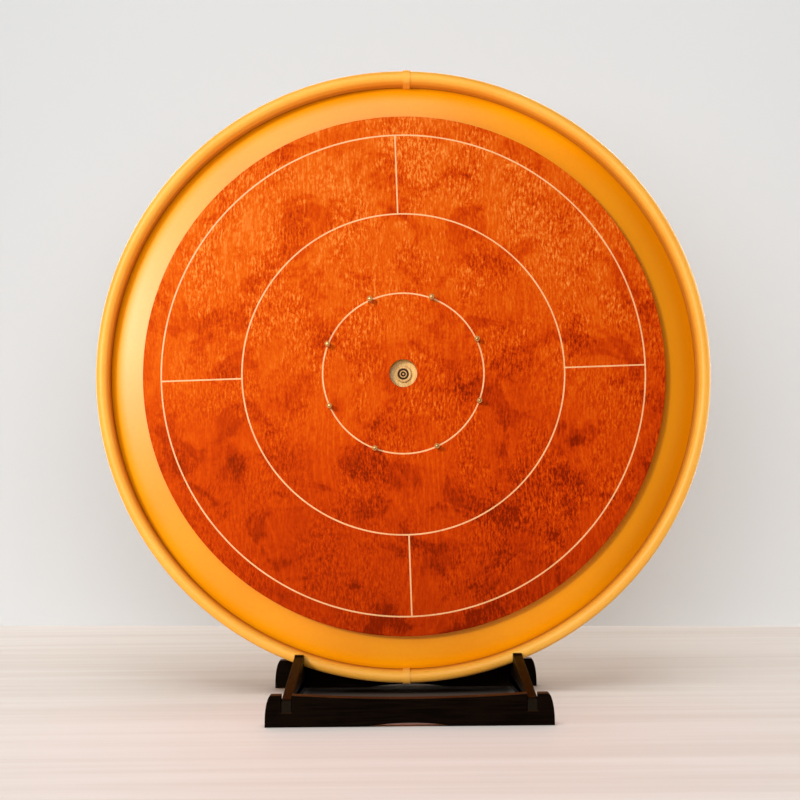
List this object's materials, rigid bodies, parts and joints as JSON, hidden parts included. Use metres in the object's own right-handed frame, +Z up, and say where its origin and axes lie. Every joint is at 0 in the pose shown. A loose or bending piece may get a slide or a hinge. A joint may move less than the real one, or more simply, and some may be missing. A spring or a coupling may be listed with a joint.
{
  "type": "crokinole board",
  "caption": "Round flicking-game board with scoring rings, a pegged centre hole and a sunken ditch inside a raised rail, resting on edge in a slotted wooden stand.",
  "frame": {"origin": "on the floor, under the middle of the whole object's box", "axes": "+Z up; -Y is the side that the playing face looks to; +X is to the right seen from there"},
  "size_m": [0.7708, 0.29, 0.7842],
  "materials": {
    "stained_veneer": "satin lacquer over red-orange stain",
    "yellow_paint": "satin yellow-orange paint",
    "rail_band": "satin paint, lighter than the rail",
    "bare_wood": "clear oil",
    "peg_tube": "matt",
    "peg_steel": "dull plated",
    "screw_steel": "plated",
    "foot_rubber": "matt",
    "dark_wood": "dark brown-black stain, satin"
  },
  "bodies": {
    "stand": {"front_plank": "dark_wood", "rear_plank": "dark_wood", "side_plate_left": "dark_wood", "side_plate_right": "dark_wood"},
    "board": {"base_board": "yellow_paint", "playing_surface": "stained_veneer", "centre_button": "bare_wood", "peg_pin_1": "peg_steel", "peg_pin_2": "peg_steel", "peg_pin_3": "peg_steel", "peg_pin_4": "peg_steel", "peg_pin_5": "peg_steel", "peg_pin_6": "peg_steel", "peg_pin_7": "peg_steel", "peg_pin_8": "peg_steel", "peg_sleeve_1": "peg_tube", "peg_sleeve_2": "peg_tube", "peg_sleeve_3": "peg_tube", "peg_sleeve_4": "peg_tube", "peg_sleeve_5": "peg_tube", "peg_sleeve_6": "peg_tube", "peg_sleeve_7": "peg_tube", "peg_sleeve_8": "peg_tube", "rail_left": "yellow_paint", "rail_right": "yellow_paint", "rail_joint_top": "rail_band", "rail_joint_bottom": "rail_band", "rail_screw_1": "screw_steel", "rail_screw_2": "screw_steel", "rail_screw_3": "screw_steel", "rail_screw_4": "screw_steel", "rail_screw_5": "screw_steel", "rail_screw_6": "screw_steel", "rail_screw_7": "screw_steel", "rail_screw_8": "screw_steel", "surface_screw_1": "screw_steel", "surface_screw_2": "screw_steel", "surface_screw_3": "screw_steel", "surface_screw_4": "screw_steel", "rubber_foot_1": "foot_rubber", "rubber_foot_2": "foot_rubber", "rubber_foot_3": "foot_rubber", "rubber_foot_4": "foot_rubber", "foot_screw_1": "screw_steel", "foot_screw_2": "screw_steel", "foot_screw_3": "screw_steel", "foot_screw_4": "screw_steel"}
  },
  "joints": [
    {"name": "board_lift", "type": "slide", "parent": "stand", "child": "board", "axis": [0, 0.0576, 0.9983], "range_m": [0, 0.1]}
  ]
}
